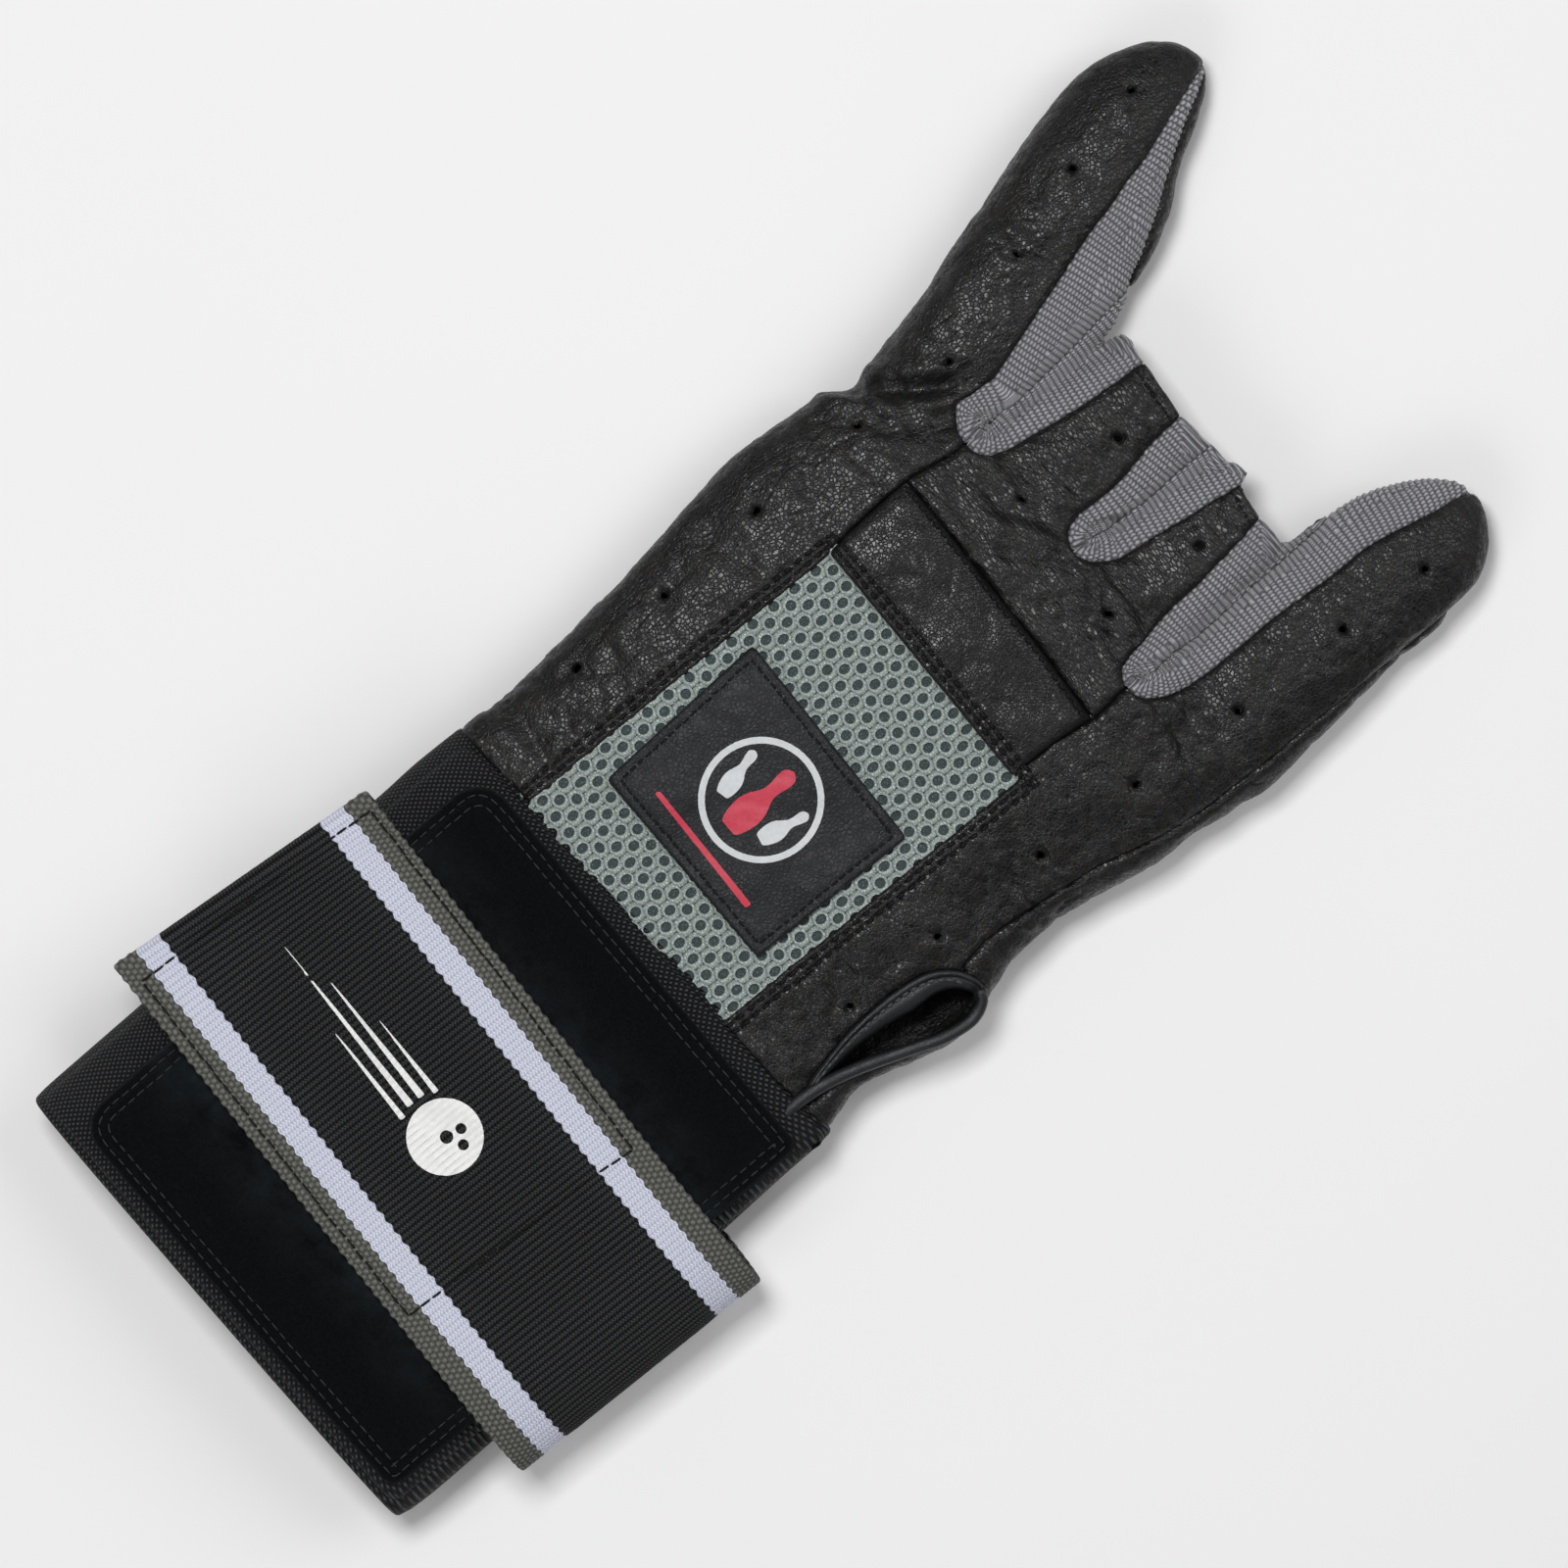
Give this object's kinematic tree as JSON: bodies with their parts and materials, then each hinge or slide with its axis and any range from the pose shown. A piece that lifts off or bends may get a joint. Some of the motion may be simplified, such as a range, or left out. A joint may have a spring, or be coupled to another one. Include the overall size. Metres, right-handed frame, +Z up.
{
  "type": "bowling glove",
  "caption": "Leather bowling glove with half ring and middle fingers, a mesh palm window, a padded wrist cuff and a striped webbing strap.",
  "frame": {"origin": "middle of the footprint, on the surface the glove lies on", "axes": "+Z up out of the palm, +Y from the cuff to the fingertips, +X towards the thumb side"},
  "size_m": [0.124, 0.2688, 0.0289],
  "materials": {
    "leather_back": "pebble grain, semi-matte",
    "leather_palm": "pebble grain, semi-matte",
    "leather_pad": "fine grain, semi-matte",
    "spacer_mesh": "open knit, matte",
    "patch": "fine grain, satin",
    "knit": "ribbed knit, matte",
    "piping": "smooth, satin",
    "cuff_nylon": "basket weave, matte",
    "velour": "brushed loop, matte",
    "webbing": "ribbed weave with grey and white stripes",
    "hook_tape": "fine hooks, matte"
  },
  "bodies": {
    "root": {"hand_back": "leather_back", "palm_little": "leather_palm", "palm_centre": "leather_palm", "palm_index": "leather_palm", "palm_pad": "leather_pad", "palm_mesh": "spacer_mesh", "palm_patch": "patch", "gusset_little_ring": "knit", "gusset_ring_middle": "knit", "gusset_middle_index": "knit", "thumb_binding": "piping", "cuff_sleeve": "cuff_nylon", "cuff_panel": "velour", "wrist_strap": "webbing", "hook_patch": "hook_tape"}
  },
  "joints": []
}
